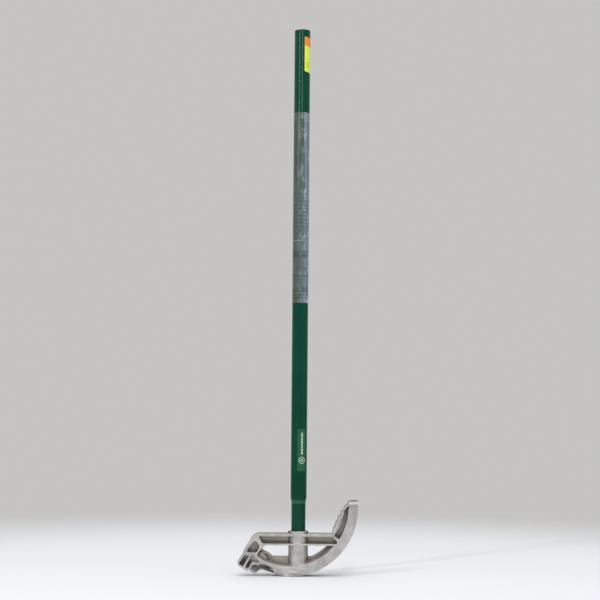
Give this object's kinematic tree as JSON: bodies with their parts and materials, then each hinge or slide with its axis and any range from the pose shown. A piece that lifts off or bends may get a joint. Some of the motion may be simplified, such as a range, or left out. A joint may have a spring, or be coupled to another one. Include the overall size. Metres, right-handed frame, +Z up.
{
  "type": "conduit bender",
  "caption": "Hand conduit bender: cast bending head with grooved shoe, open hook, ribbed frame and foot pedal, on a long swaged tube handle.",
  "frame": {"origin": "on the floor under the middle of the bounding box, which is also the handle's axis", "axes": "+Z up along the handle, +X toward the foot pedal and -X toward the hook, +Y away from the side the picture shows"},
  "size_m": [0.2244, 0.052, 1.03],
  "materials": {
    "cast_aluminium": "as-cast, satin, scuffed along the shoe",
    "green_paint": "gloss",
    "silver_label": "printed silver film, semi-gloss",
    "yellow_label": "fluorescent printed paper, matte",
    "decal_green": "thin printed film, gloss"
  },
  "bodies": {
    "head": {"bender_head": "cast_aluminium"},
    "handle": {"handle_tube": "green_paint", "instruction_label": "silver_label", "price_sticker": "yellow_label", "maker_decal": "decal_green"}
  },
  "joints": [
    {"name": "handle_unscrew", "type": "slide", "parent": "head", "child": "handle", "axis": [0, 0, 1], "range_m": [0, 0.06]}
  ]
}
